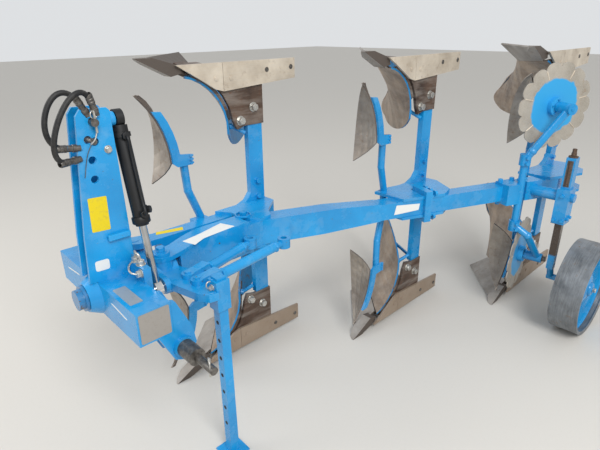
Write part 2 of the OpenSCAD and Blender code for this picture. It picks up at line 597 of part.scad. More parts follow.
// Depth wheel on a swinging arm, outside the last body
arm_plane = last_point[1] + 259;
module wheel_tube() place() color(BLUE) difference() {
    union() {
        translate([-swing_back, 0, axis_h]) {
            along_y(beam_mid(-swing_back), arm_plane - 34, 32);
            along_y(arm_plane - 85, arm_plane + 50, 24);
        }
        on_beam((swing_back - leg_back) / cos(beam_angle)) translate([-70, -20, -beam_w / 2 - 12]) cube([110, 78, beam_w + 24]);
    }
    beam_room(seat_gap);
}
module wheel_arm() place() color(BLUE) {
    difference() {
        union() {
            translate([-swing_back - 45, arm_plane - 33, axis_h - 150]) cube([90, 66, 200]);
            translate([-swing_back - 28, arm_plane - 24, axis_h + 49]) cube([56, 48, 170]);
            translate([-swing_back - 18, arm_plane - 18, 330]) cube([36, 36, axis_h - 470]);
        }
        translate([-swing_back, 0, axis_h]) along_y(arm_plane - 100, arm_plane + 100, 24 + run_gap);
    }
    bar([-swing_back, arm_plane, 340], [-wheel_back, arm_plane, wheel_r], 18);
    translate([-wheel_back, 0, wheel_r]) along_y(arm_plane - 18, wheel_y + 60, 18);
}
module depth_wheel() place() color(PALE) translate([-wheel_back, 0, wheel_r]) difference() {
    union() {
        difference() {
            along_y(wheel_y - wheel_w / 2, wheel_y + wheel_w / 2, wheel_r);
            along_y(wheel_y - wheel_w, wheel_y + wheel_w, wheel_r - 10);
        }
        along_y(wheel_y - 4, wheel_y + 4, wheel_r - 5);
        along_y(wheel_y - 45, wheel_y + 30, 40);
    }
    along_y(wheel_y - 100, wheel_y + 100, 18 + run_gap);
}

tower();
hose_inner();
hose_outer();
cross_tube();
link_bracket_left();
link_bracket_right();
link_pin_left();
link_pin_right();
top_link_pin();
ram_barrel();
ram_rod();
turnover_shaft();
turning_head();
pivot_pin();
box_arm();
front_beam();
rear_beam();
turnbuckle_inner();
turnbuckle_outer();
console_1();
console_2();
console_3();
for (k = furrows) {
    legs(k);
    frogs(k);
    mouldboards(k);
    shares(k);
    landsides(k);
    stays(k);
    skimmer_stems(k);
    skimmers(k);
}
coulter_post();
coulter_arm_upper();
coulter_arm_lower();
disc_upper();
disc_lower();
stand_socket();
stand_leg();
wheel_tube();
wheel_arm();
depth_wheel();
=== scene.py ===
import json
import math

import bpy
from mathutils import Matrix, Vector


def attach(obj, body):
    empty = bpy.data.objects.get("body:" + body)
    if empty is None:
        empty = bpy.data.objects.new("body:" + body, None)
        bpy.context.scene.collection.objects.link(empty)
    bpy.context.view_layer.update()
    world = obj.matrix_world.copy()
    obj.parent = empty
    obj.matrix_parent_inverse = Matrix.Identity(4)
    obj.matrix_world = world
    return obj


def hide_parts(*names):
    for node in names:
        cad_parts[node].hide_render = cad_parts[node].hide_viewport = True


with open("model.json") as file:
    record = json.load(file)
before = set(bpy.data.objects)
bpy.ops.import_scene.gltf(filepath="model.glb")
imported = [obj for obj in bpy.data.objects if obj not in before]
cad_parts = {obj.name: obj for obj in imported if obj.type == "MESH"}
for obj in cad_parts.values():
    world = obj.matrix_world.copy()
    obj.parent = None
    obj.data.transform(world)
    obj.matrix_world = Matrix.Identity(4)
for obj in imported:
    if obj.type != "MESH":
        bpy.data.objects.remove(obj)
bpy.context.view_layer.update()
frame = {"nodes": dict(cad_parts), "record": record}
bpy.ops.object.select_all(action="DESELECT")

# The view: a camera held at head height, ahead of the plough and to its left.
# Its place is in metres in the plough's frame and its angles are in degrees.
EYE = Vector((2.0335, 1.4939, 1.6400))
HEADING = 226.658
PITCH = 22.580
ROLL = -0.662
FOCAL_PX = 477.8
PHOTO_WIDTH = 600
SENSOR = 36.0
FAR_CLIP = 200


def place_camera():
    ahead = Vector((math.cos(math.radians(HEADING)), math.sin(math.radians(HEADING)), 0))
    side = Vector((ahead.y, -ahead.x, 0))
    down = math.radians(PITCH)
    look = ahead * math.cos(down) - Vector((0, 0, 1)) * math.sin(down)
    up = ahead * math.sin(down) + Vector((0, 0, 1)) * math.cos(down)
    roll = math.radians(ROLL)
    right = side * math.cos(roll) + up * math.sin(roll)
    top = up * math.cos(roll) - side * math.sin(roll)
    lens = bpy.data.cameras.new("view")
    lens.sensor_width = SENSOR
    lens.lens = FOCAL_PX * SENSOR / PHOTO_WIDTH
    lens.clip_end = FAR_CLIP
    camera = bpy.data.objects.new("view", lens)
    axes = Matrix((right, top, -look)).transposed().to_4x4()
    camera.matrix_world = Matrix.Translation(EYE) @ axes
    bpy.context.scene.collection.objects.link(camera)
    bpy.context.scene.camera = camera


place_camera()

# Oil hoses: black rubber over steel braid, pressed into couplings on the tower at both ends.
# They are stiff enough to stand up in a loop ahead of the tower.
# A place is first written in millimetres: ahead of the first share's point, to the left of the turnover
# axis and up from the ground. SHIFT takes it to the frame's origin.
SHIFT = Vector((1183.2, -85.9, 0))
HOSE_WIDTH = 17.0
INNER_Y = 36.5
OUTER_Y = INNER_Y + 14
OUTER_BOW_Y = INNER_Y + 54
HOSES = {
    "hose_inner": [(312, INNER_Y, 1426), (380, INNER_Y, 1560),
                   (490, INNER_Y, 1312), (376, INNER_Y, 1300)],
    "hose_outer": [(282, OUTER_Y, 1428), (330, OUTER_BOW_Y, 1570),
                   (500, OUTER_BOW_Y, 1262), (380, OUTER_Y, 1262)],
}
HOSE_STEPS = 64
TURNOVER_AXIS = 767


def at(x, y, z):
    return (Vector((x, y, z)) + SHIFT) / 1000


def linear(hex_colour):
    channels = [int(hex_colour[i:i + 2], 16) / 255 for i in (0, 2, 4)]
    return [c / 12.92 if c <= 0.04045 else ((c + 0.055) / 1.055) ** 2.4 for c in channels] + [1.0]


def add(tree, kind, settings=None, links=None):
    made = tree.nodes.new(kind)
    for key, value in (settings or {}).items():
        if isinstance(key, int) or key in made.inputs:
            made.inputs[key].default_value = value
        else:
            setattr(made, key, value)
    for key, source in (links or {}).items():
        tree.links.new(source, made.inputs[key])
    return made


def new_material(name):
    material = bpy.data.materials.new(name)
    material.use_nodes = True
    material.node_tree.nodes.clear()
    place = add(material.node_tree, "ShaderNodeTexCoord")
    return material, material.node_tree, place


# Noise whose grain is given in millimetres, cut to a mask between two levels.
def mask(tree, place, grain_mm, low, high, detail=4.0, stretch=(1, 1, 1)):
    scaled = add(tree, "ShaderNodeMapping", {"Scale": stretch}, {"Vector": place})
    noise = add(tree, "ShaderNodeTexNoise", {"Scale": 1000 / grain_mm, "Detail": detail, "Roughness": 0.62},
                {"Vector": scaled.outputs["Vector"]})
    cut = add(tree, "ShaderNodeMapRange", {"From Min": low, "From Max": high},
              {"Value": noise.outputs["Fac"]})
    return cut.outputs["Result"]


def share_of(tree, share, source):
    return add(tree, "ShaderNodeMath", {"operation": "MULTIPLY", 1: share}, {0: source}).outputs[0]


def blend_colour(tree, share, first, second):
    mixed = add(tree, "ShaderNodeMix", {"data_type": "RGBA"})
    tree.links.new(share, mixed.inputs[0])
    for socket, value in ((6, first), (7, second)):
        if isinstance(value, str):
            mixed.inputs[socket].default_value = linear(value)
        else:
            tree.links.new(value, mixed.inputs[socket])
    return mixed.outputs[2]


def bump(tree, height, depth_mm, strength=0.6):
    made = add(tree, "ShaderNodeBump", {"Strength": strength, "Distance": depth_mm / 1000},
               {"Height": height})
    return made.outputs["Normal"]


def finish_material(tree, shader):
    add(tree, "ShaderNodeOutputMaterial", links={"Surface": shader.outputs["BSDF"]})


# Extruded rubber: matt black with a faint dust, and a fine cloth print from its wrapping.
def hose_rubber():
    material, tree, place = new_material("wrapped_hose_rubber")
    dust = mask(tree, place.outputs["Object"], 30, 0.45, 0.75)
    cloth = mask(tree, place.outputs["Object"], 1.5, 0.3, 0.7)
    colour = blend_colour(tree, dust, "121213", "34322f")
    shader = add(tree, "ShaderNodeBsdfPrincipled", {"Roughness": 0.58},
                 {"Base Color": colour, "Normal": bump(tree, cloth, 0.2)})
    finish_material(tree, shader)
    return material


rubber = hose_rubber()
for node_name, route in HOSES.items():
    points = [at(*p) for p in route]
    line = bpy.data.curves.new(node_name + "_line", "CURVE")
    line.dimensions = "3D"
    line.resolution_u = 32
    line.bevel_depth = HOSE_WIDTH / 2000
    line.bevel_resolution = 5
    line.use_fill_caps = True
    spline = line.splines.new("BEZIER")
    spline.bezier_points.add(1)
    first, last = spline.bezier_points
    for end in (first, last):
        end.handle_left_type = end.handle_right_type = "FREE"
    first.co, first.handle_right, first.handle_left = points[0], points[1], points[0] * 2 - points[1]
    last.co, last.handle_left, last.handle_right = points[3], points[2], points[3] * 2 - points[2]
    hose = bpy.data.objects.new(node_name + "_rubber", line)
    bpy.context.scene.collection.objects.link(hose)
    line.materials.append(rubber)
    stops = [i / HOSE_STEPS for i in range(HOSE_STEPS + 1)]
    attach(hose, "headstock")
    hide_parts(node_name)


# Welded steelwork: tube and plate sprayed with azure enamel all over, the bolts with it.
# The coat is glossy with slight orange peel, dusty in places and chipped to dark steel in a few spots.
# Where bare gives two heights, in metres, the paint between them has gone and the steel has rusted.
def sprayed_enamel(name, deep, bright, chips=0.70, bare=None):
    material, tree, place = new_material(name)
    where = place.outputs["Object"]
    tones = mask(tree, where, 260, 0.3, 0.7)
    paint = blend_colour(tree, tones, deep, bright)
    dust = mask(tree, where, 90, 0.52, 0.86, 7.0)
    paint = blend_colour(tree, share_of(tree, 0.35, dust), paint, "9db7c4")
    runs = mask(tree, where, 55, 0.60, 0.74, 5.0, (1, 1, 0.25))
    paint = blend_colour(tree, share_of(tree, 0.28, runs), paint, "0d5f98")
    chipped = mask(tree, where, 16, chips, chips + 0.02, 3.0)
    paint = blend_colour(tree, chipped, paint, "5a4a3e")
    if bare:
        height = add(tree, "ShaderNodeSeparateXYZ", {}, {0: where}).outputs["Z"]
        low, high = bare
        rise = add(tree, "ShaderNodeMapRange", {"From Min": low, "From Max": low + 0.012},
                   {"Value": height})
        fall = add(tree, "ShaderNodeMapRange",
                   {"From Min": high, "From Max": high + 0.004, "To Min": 1.0, "To Max": 0.0},
                   {"Value": height})
        window = add(tree, "ShaderNodeMath", {"operation": "MULTIPLY"},
                     {0: rise.outputs["Result"], 1: fall.outputs["Result"]})
        paint = blend_colour(tree, window.outputs[0], paint, "41352c")
    peel = mask(tree, where, 2.5, 0.2, 0.8, 2.0)
    gloss = add(tree, "ShaderNodeMapRange", {"To Min": 0.26, "To Max": 0.5}, {"Value": dust})
    shader = add(tree, "ShaderNodeBsdfPrincipled", {"Coat Weight": 0.25, "Coat Roughness": 0.15},
                 {"Base Color": paint, "Roughness": gloss.outputs["Result"],
                  "Normal": bump(tree, peel, 0.12, 0.35)})
    finish_material(tree, shader)
    return material


AZURE_DEEP = "0a7fbc"
AZURE_BRIGHT = "1596d4"
WHEEL_LEG_RUST = (0.41, 0.617)
blue = sprayed_enamel("azure_enamel", AZURE_DEEP, AZURE_BRIGHT)


def coat(node_name, material):
    shape = frame["nodes"][node_name]
    shape.data.materials.clear()
    shape.data.materials.append(material)


slots = {part["node"]: part["material_slot"] for part in frame["record"]["subparts"]}
for node_name, slot in slots.items():
    if slot == "blue_paint":
        coat(node_name, blue)
# The square leg of the wheel slides through its carrier, and there the paint has gone and it has rusted.
leg_enamel = sprayed_enamel("azure_enamel_on_wheel_leg", AZURE_DEEP, AZURE_BRIGHT, bare=WHEEL_LEG_RUST)
coat("wheel_arm", leg_enamel)


# Mouldboards: three-layer ploughing steel, pressed to shape and left bare on the soil's side.
# Stored outdoors, that side has a brown-grey skin of old rust and soil with paler rubbed paths,
# and the back keeps its blue paint. The soil runs off to the right, so the worked side faces there.
SOIL_RUNS = (0.62, -0.78, 0.0)


def worked_side(tree, place):
    turned = add(tree, "ShaderNodeVectorMath", {"operation": "DOT_PRODUCT", 1: SOIL_RUNS},
                 {0: place.outputs["Normal"]})
    faced = add(tree, "ShaderNodeMapRange", {"From Min": -0.02, "From Max": 0.02},
                {"Value": turned.outputs["Value"]})
    return faced.outputs["Result"]


def soil_worn_steel(name, dark, pale, rust, back=None, metal=0.35):
    material, tree, place = new_material(name)
    where = place.outputs["Object"]
    patches = mask(tree, where, 150, 0.35, 0.68, 6.0)
    colour = blend_colour(tree, patches, dark, pale)
    paths = mask(tree, where, 26, 0.42, 0.72, 5.0, (0.16, 0.2, 1.0))
    colour = blend_colour(tree, share_of(tree, 0.45, paths), colour, "a89f95")
    spots = mask(tree, where, 22, 0.58, 0.72, 6.0)
    colour = blend_colour(tree, share_of(tree, 0.6, spots), colour, rust)
    grit = mask(tree, where, 3.0, 0.3, 0.7, 5.0)
    if back:
        side = worked_side(tree, place)
        backs = blend_colour(tree, mask(tree, where, 40, 0.55, 0.7, 6.0), back, "5d5048")
        colour = blend_colour(tree, side, backs, colour)
    shader = add(tree, "ShaderNodeBsdfPrincipled", {"Metallic": metal, "Roughness": 0.52},
                 {"Base Color": colour, "Normal": bump(tree, grit, 0.35, 0.5)})
    finish_material(tree, shader)
    return material


board_steel = soil_worn_steel("soil_worn_board_steel", "6f6156", "b09c88", "8a6a50", back="2284bd")
share_steel = soil_worn_steel("soil_worn_share_steel", "857e77", "b0aaa3", "7d6350", back="5a514a")
frog_steel = soil_worn_steel("rusted_forging", "3a2b22", "5f4a3c", "63391f", metal=0.1)
skim_steel = soil_worn_steel("soil_worn_skimmer_steel", "857b71", "b3a99c", "7c604a", back="6a6058")
for k in (1, 2, 3):
    coat("mouldboards_%d" % k, board_steel)
    coat("shares_%d" % k, share_steel)
    coat("frogs_%d" % k, frog_steel)
    coat("skimmers_%d" % k, skim_steel)


# Landsides and discs: rolled steel that soil has scoured pale, with long scratches along travel
# and a thin tan bloom of rust in between.
def scoured_steel(name, dark, pale, stretch):
    material, tree, place = new_material(name)
    where = place.outputs["Object"]
    bloom = mask(tree, where, 120, 0.3, 0.7, 6.0)
    colour = blend_colour(tree, bloom, dark, pale)
    rust = mask(tree, where, 34, 0.58, 0.72, 6.0)
    colour = blend_colour(tree, share_of(tree, 0.5, rust), colour, "8a6f55")
    lines = mask(tree, where, 4, 0.4, 0.6, 3.0, stretch)
    colour = blend_colour(tree, share_of(tree, 0.25, lines), colour, "c9c2b8")
    return material, tree, place, colour, lines


# Near the ground the steel is browner and darker: partly soil dried on the pieces that work below, partly
# painted shade on the lower pieces.
def plain_scoured(name, dark, pale, stretch=(0.04, 1, 1)):
    material, tree, place, colour, lines = scoured_steel(name, dark, pale, stretch)
    height = add(tree, "ShaderNodeSeparateXYZ", {}, {0: place.outputs["Object"]}).outputs["Z"]
    # Painted shade with soil: from 0.5 m down to 0.2 m the colour is blended toward a dark brown.
    soil_and_shade = add(tree, "ShaderNodeMapRange",
                 {"From Min": 0.5, "From Max": 0.2, "To Min": 0.0, "To Max": 0.75}, {"Value": height})
    colour = blend_colour(tree, soil_and_shade.outputs["Result"], colour, "85705e")
    shader = add(tree, "ShaderNodeBsdfPrincipled", {"Metallic": 0.3, "Roughness": 0.48},
                 {"Base Color": colour, "Normal": bump(tree, lines, 0.15, 0.4)})
    finish_material(tree, shader)
    return material


landside_steel = plain_scoured("scoured_landside_steel", "b0a28f", "d8ccb9")
for k in (1, 2, 3):
    coat("landsides_%d" % k, landside_steel)


# A coulter disc keeps its blue paint round the hub, where no soil rubs it; its edge is scoured bare.
# Each disc has the place of its middle and the degrees that it is turned from straight ahead.
DISCS = {"disc_upper": (-1918, 632, 1233, 28), "disc_lower": (-1915, 590, 352, -8)}


def painted_disc(name, middle):
    material, tree, place, colour, lines = scoured_steel(name, "8e877b", "ada69a", (1, 1, 1))
    where = place.outputs["Object"]
    away = add(tree, "ShaderNodeVectorMath", {"operation": "DISTANCE", 1: middle}, {0: where})
    ragged = add(tree, "ShaderNodeTexNoise", {"Scale": 18.0, "Detail": 5.0}, {"Vector": where})
    wavy = add(tree, "ShaderNodeMath", {"operation": "MULTIPLY_ADD", 1: 0.05},
               {0: ragged.outputs["Fac"], 2: away.outputs["Value"]})
    kept = add(tree, "ShaderNodeMapRange", {"From Min": 0.166, "From Max": 0.174},
               {"Value": wavy.outputs[0]})
    colour = blend_colour(tree, kept.outputs["Result"], "2f9fd8", colour)
    shader = add(tree, "ShaderNodeBsdfPrincipled", {"Metallic": 0.15, "Roughness": 0.45},
                 {"Base Color": colour, "Normal": bump(tree, lines, 0.1, 0.3)})
    finish_material(tree, shader)
    return material


for node_name, (x, y, z, turn) in DISCS.items():
    coat(node_name, painted_disc("scoured_" + node_name, at(x, y, z)))


# Pins, shaft and cylinder: turned steel pins dark with oil, a shaft in darker and more chipped enamel, a
# barrel sprayed satin black, and a rod ground and hard-chromed so that it shines.
def turned_steel(name, dark, pale, metallic, roughness, grain_mm=12):
    material, tree, place = new_material(name)
    where = place.outputs["Object"]
    smear = mask(tree, where, grain_mm, 0.3, 0.7, 5.0)
    colour = blend_colour(tree, smear, dark, pale)
    fine = mask(tree, where, 2.0, 0.3, 0.7)
    shader = add(tree, "ShaderNodeBsdfPrincipled", {"Metallic": metallic, "Roughness": roughness},
                 {"Base Color": colour, "Normal": bump(tree, fine, 0.08, 0.3)})
    finish_material(tree, shader)
    return material


oily_steel = turned_steel("oiled_turned_steel", "4a4744", "7d7974", 0.7, 0.4)
coat("link_pin_left", oily_steel)
coat("link_pin_right", oily_steel)
coat("top_link_pin", oily_steel)
coat("turnover_shaft", sprayed_enamel("azure_enamel_on_shaft", "1c5c8f", "3a86b8", 0.6))
black_enamel = turned_steel("satin_black_enamel", "060708", "101215", 0.0, 0.5, 60)
coat("ram_barrel", black_enamel)
coat("ram_rod", turned_steel("hard_chrome", "b9b9b6", "dedddb", 1.0, 0.16, 80))
zinc = turned_steel("zinc_plate", "a7a59f", "d4d2cc", 0.75, 0.34, 6)


# Depth wheel: a rolled steel rim, its tread worn to bright grey with scuffs round it, a pressed dish in
# the plough's blue, rolled edges of the rim's steel and a blue cap over the hub.
WHEEL_X = -1925
WHEEL_Y = 955
WHEEL_R = 263
WHEEL_HALF = 75


def worn_rim_steel():
    material, tree, place = new_material("worn_rim_steel")
    where = place.outputs["Object"]
    colour = blend_colour(tree, mask(tree, where, 110, 0.35, 0.66, 6.0), "5a5e62", "83888d")
    lines = mask(tree, where, 5, 0.42, 0.66, 3.0, (0.06, 1, 0.06))
    colour = blend_colour(tree, share_of(tree, 0.22, lines), colour, "b4b8ba")
    colour = blend_colour(tree, mask(tree, where, 30, 0.6, 0.74, 6.0), colour, "7b6654")
    shader = add(tree, "ShaderNodeBsdfPrincipled", {"Metallic": 0.45, "Roughness": 0.4},
                 {"Base Color": colour, "Normal": bump(tree, lines, 0.15, 0.4)})
    finish_material(tree, shader)
    return material


rim_steel = worn_rim_steel()
coat("depth_wheel", rim_steel)


def deselect():
    if bpy.context.object and bpy.context.object.mode != "OBJECT":
        bpy.ops.object.mode_set(mode="OBJECT")
    bpy.ops.object.select_all(action="DESELECT")


def settle(piece):
    bpy.context.view_layer.update()
    piece.data.transform(piece.matrix_world)
    piece.matrix_world = Matrix.Identity(4)
    return piece


def facing(axis):
    return Vector(axis).to_track_quat("Z", "Y").to_matrix().to_4x4()


# A ring of steel is turned from its outline of radius and height, then set on its place along an axis.
def turned_ring(name, outline, middle, axis, material, body, closed=True, steps=72):
    deselect()
    mesh = bpy.data.meshes.new(name)
    edges = [(i, i + 1) for i in range(len(outline) - 1)]
    if closed:
        edges.append((len(outline) - 1, 0))
    mesh.from_pydata([Vector((r, 0, h)) / 1000 for r, h in outline], edges, [])
    piece = bpy.data.objects.new(name, mesh)
    bpy.context.scene.collection.objects.link(piece)
    bpy.context.view_layer.objects.active = piece
    piece.select_set(True)
    bpy.ops.object.mode_set(mode="EDIT")
    bpy.ops.mesh.select_all(action="SELECT")
    bpy.ops.mesh.spin(steps=steps, angle=2 * math.pi, center=(0, 0, 0), axis=(0, 0, 1))
    bpy.ops.mesh.select_all(action="SELECT")
    bpy.ops.mesh.remove_doubles(threshold=0.00005)
    bpy.ops.mesh.normals_make_consistent(inside=False)
    bpy.ops.object.mode_set(mode="OBJECT")
    piece.data.transform(Matrix.Translation(middle) @ facing(axis))
    bpy.ops.object.shade_smooth_by_angle(angle=math.radians(40))
    piece.data.materials.append(material)
    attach(piece, body)
    deselect()
    return piece


LEFT, RIGHT, UP, DOWN = (0, 1, 0), (0, -1, 0), (0, 0, 1), (0, 0, -1)
AHEAD, BACK = (1, 0, 0), (-1, 0, 0)
wheel_middle = at(WHEEL_X, WHEEL_Y, WHEEL_R)
dish_outline = [(42, 44), (60, 40), (105, 22), (180, 14), (238, 26), (250, 40),
                (252, 36), (240, 20), (180, 8), (105, 14), (60, 32), (42, 36)]
turned_ring("wheel_dish", dish_outline, wheel_middle, LEFT, blue, "depth_wheel")
BEAD_R = WHEEL_R - 12
BEAD_OUT = WHEEL_HALF - 5.2
BEAD_HIGH = 7
BEAD_WIDE = 5
for side, word in ((-1, "inner"), (1, "outer")):
    bead = [(BEAD_R + BEAD_HIGH * math.cos(math.radians(a)),
             side * BEAD_OUT + BEAD_WIDE * math.sin(math.radians(a))) for a in range(0, 360, 45)]
    turned_ring("rim_bead_%s" % word, bead, wheel_middle, LEFT, rim_steel, "depth_wheel")
hub_outline = [(0, 57), (30, 57), (36, 54), (39, 49), (41, 42), (41, 32), (0, 32)]
turned_ring("wheel_hub_cap", hub_outline, wheel_middle, LEFT, blue, "depth_wheel", closed=False)


# Bolts: forged hexagon heads, each on a turned washer. Most were sprayed over with the frame; those
# through the worn parts are bare zinc or dark steel. A model's sizes are in millimetres: its width
# across flats, its height and its washer's width.
HEAD_LIFT = 2
WASHER_THICK = 3


def bolt_model(across, height, washer):
    deselect()
    bpy.ops.mesh.primitive_cylinder_add(vertices=6, radius=across / math.sqrt(3) / 1000,
                                        depth=height / 1000,
                                        location=(0, 0, (height / 2 + HEAD_LIFT) / 1000))
    head = settle(bpy.context.object)
    chamfer = head.modifiers.new("chamfer", "BEVEL")
    chamfer.width = across * 0.06 / 1000
    chamfer.segments = 2
    bpy.ops.object.modifier_apply(modifier="chamfer")
    bpy.ops.object.select_all(action="DESELECT")
    bpy.ops.mesh.primitive_cylinder_add(vertices=20, radius=washer / 2000, depth=WASHER_THICK / 1000,
                                        location=(0, 0, 0.001))
    ring = settle(bpy.context.object)
    edge = ring.modifiers.new("edge", "BEVEL")
    edge.width = 0.0006
    bpy.ops.object.modifier_apply(modifier="edge")
    head.select_set(True)
    bpy.context.view_layer.objects.active = head
    bpy.ops.object.join()
    deselect()
    return head


# Each spot is a place on the surface, the way that the head faces, and how far the head is turned.
def fit_bolts(name, model, spots, material, body):
    made = []
    for place, way, twist in spots:
        one = bpy.data.objects.new(name, model.data.copy())
        turn = facing(way) @ Matrix.Rotation(math.radians(twist), 4, "Z")
        one.data.transform(Matrix.Translation(place) @ turn)
        bpy.context.scene.collection.objects.link(one)
        made.append(one)
    deselect()
    for one in made:
        one.select_set(True)
    bpy.context.view_layer.objects.active = made[0]
    if len(made) > 1:
        bpy.ops.object.join()
    piece = bpy.context.view_layer.objects.active
    piece.name = name
    piece.data.materials.clear()
    piece.data.materials.append(material)
    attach(piece, body)
    deselect()
    return piece


big_bolt = bolt_model(30, 19, 44)
mid_bolt = bolt_model(24, 15, 34)
small_bolt = bolt_model(17, 11, 26)
tiny_bolt = bolt_model(9, 5, 11)
flush_bolt = bolt_model(13, 1.5, 22)

BODY_PITCH = 900
FURROW_STEP = 373
BEAM_SLOPE = FURROW_STEP / BODY_PITCH
BEAM_ANGLE = math.atan(BEAM_SLOPE)
BEAM_HALF = 42.5
LEG_BACK = 560
BEAM_Y = 8


def on_beam(along, across, height):
    x = -LEG_BACK - along * math.cos(BEAM_ANGLE) + across * math.sin(BEAM_ANGLE)
    y = BEAM_Y + along * math.sin(BEAM_ANGLE) + across * math.cos(BEAM_ANGLE)
    return at(x, y, TURNOVER_AXIS + height)


# The two beams meet at a pair of flanges, drawn together by six bolts with a hexagon at each end.
FLANGE_AHEAD = 227
BOTH_FLANGES = 40
flange_along = BODY_PITCH / math.cos(BEAM_ANGLE) - FLANGE_AHEAD
forward = Vector((math.cos(BEAM_ANGLE), -math.sin(BEAM_ANGLE), 0))
flange_spots = []
for across in (-44, 0, 44):
    for height in (-64, 64):
        flange_spots.append((on_beam(flange_along, across, height), tuple(forward), 15))
        flange_spots.append((on_beam(flange_along + BOTH_FLANGES, across, height), tuple(-forward), 15))
fit_bolts("flange_bolts", mid_bolt, flange_spots, blue, "turning_frame")


# The bodies' bolts, the same above and below: two through each leg, with a nut on its other side, two
# bright ones through each frog, flush ones through the landsides and small ones on the skimmers' clamps.
FIRST_BODY_Y = -220
LEG_THICK = 30
FROG_FACE = 5
LANDSIDE_FACE = 17


def body_place(k, x, y, z, upper):
    height = 2 * TURNOVER_AXIS - z if upper else z
    return at(x - (k - 1) * BODY_PITCH, FIRST_BODY_Y + (k - 1) * FURROW_STEP + y, height)


leg_spots, frog_spots, side_spots, worn_spots, stem_spots = [], [], [], [], []
for k in (1, 2, 3):
    for upper in (False, True):
        for z, twist in ((598, 10), (676, 25)):
            leg_spots.append((body_place(k, -LEG_BACK, 0, z, upper), LEFT, twist))
            leg_spots.append((body_place(k, -LEG_BACK, -LEG_THICK, z, upper), RIGHT, twist))
        frog_spots.append((body_place(k, -552, FROG_FACE, 238, upper), LEFT, 5))
        frog_spots.append((body_place(k, -475, FROG_FACE, 292, upper), LEFT, 20))
        for x, z in ((-632, 76), (-782, 72)):
            side_spots.append((body_place(k, x, LANDSIDE_FACE, z, upper), LEFT, 12))
        for x, z in ((-352, 96), (-430, 100)):
            worn_spots.append((body_place(k, x, LANDSIDE_FACE, z, upper), LEFT, 12))
        for z in (398, 414, 430):
            stem_spots.append((body_place(k, -180, 33, z, upper), LEFT, 8))
            stem_spots.append((body_place(k, -190, 26.5, z, upper), BACK, 8))
fit_bolts("leg_bolts", mid_bolt, leg_spots, blue, "turning_frame")
fit_bolts("frog_bolts", big_bolt, frog_spots, zinc, "turning_frame")
fit_bolts("landside_bolts", flush_bolt, side_spots, oily_steel, "turning_frame")
fit_bolts("worn_landside_bolts", flush_bolt, worn_spots, landside_steel, "turning_frame")
fit_bolts("skimmer_bolts", tiny_bolt, stem_spots, blue, "turning_frame")


# One bright bolt sits behind the slot in the tower's left plate, and one on the wheel's hub cap.
# Both are zinc-plated and were fitted after the paint.
fit_bolts("tower_bolt", small_bolt, [(at(251, 40, 1278), LEFT, 10)], zinc, "headstock")
HUB_CAP_END = 56.5
hub_end = wheel_middle + Vector((0, HUB_CAP_END / 1000, 0))
fit_bolts("wheel_nut", mid_bolt, [(hub_end, LEFT, 10)], zinc, "depth_wheel")


# Pivot and console nuts: forged hexagon nuts on top of the front beam, sprayed over with it. The
# console's nut stands in a turned steel cup.
console_nut = at(-360, -83, 842.1)
nut_spots = [(at(107, 15, 851.4), UP, 10), (console_nut, UP, 20)]
fit_bolts("beam_nuts", big_bolt, nut_spots, blue, "turning_frame")
cup = [(31, 0), (37, 0), (37, 7), (35, 9), (33, 9), (31, 7)]
turned_ring("console_cup", cup, console_nut, UP, blue, "turning_frame", steps=40)


# Turnbuckle lock nuts: wide hexagon nuts run up against both ends of each turnbuckle's tube and
# painted over with it. A turnbuckle is given by the places of its two ends.
TUBE_NEAR = 128
TUBE_FAR = 70
lock_nut = bolt_model(44, 14, 42)
lock_spots = []
for near, far in (((76, 150), (-300, 42)), ((76, 212), (-405, 145))):
    span = Vector((far[0] - near[0], far[1] - near[1], 0))
    way = span.normalized()
    for reach, sense in ((TUBE_NEAR, -1), (span.length - TUBE_FAR, 1)):
        place = at(near[0] + way.x * reach, near[1] + way.y * reach, TURNOVER_AXIS)
        lock_spots.append((place, tuple(way * sense), 15))
fit_bolts("turnbuckle_nuts", lock_nut, lock_spots, blue, "turning_frame")


# Cylinder fittings: a screwed gland at the rod's end, a collar at the top, hexagon unions and the oil
# pipe that runs down the barrel, all black with the barrel. Places are along the cylinder from its pin.
RAM_TOP = (188, 0, 1366)
CRANK_R = 120
RAM_LEAN = math.atan(CRANK_R / (RAM_TOP[2] - TURNOVER_AXIS))


def on_ram(x, y, z):
    across = y * math.cos(RAM_LEAN) - z * math.sin(RAM_LEAN)
    height = y * math.sin(RAM_LEAN) + z * math.cos(RAM_LEAN)
    return at(RAM_TOP[0] + x, RAM_TOP[1] + across, RAM_TOP[2] + height)


ram_down = (on_ram(0, 0, -100) - on_ram(0, 0, 0)).normalized()
ram_side = (on_ram(0, 100, 0) - on_ram(0, 0, 0)).normalized()
gland = [(15, 0), (30, 0), (31.5, 2), (31.5, 22), (29, 25), (24, 25), (22, 33), (15.2, 34)]
turned_ring("ram_gland", gland, on_ram(0, 0, -338), ram_down, black_enamel, "ram_barrel",
            steps=40)
collar = [(26, 0), (31, 0), (31, 16), (26, 16)]
turned_ring("ram_collar", collar, on_ram(0, 0, -48), ram_down, black_enamel, "ram_barrel",
            steps=40)
port_spots = [(on_ram(0, 24, -62), tuple(ram_side), 0), (on_ram(0, 24, -330), tuple(ram_side), 0),
              (on_ram(-18, 18, -318), tuple((ram_side + Vector((-1, 0, 0))).normalized()), 0)]
fit_bolts("ram_unions", mid_bolt, port_spots, black_enamel, "ram_barrel")


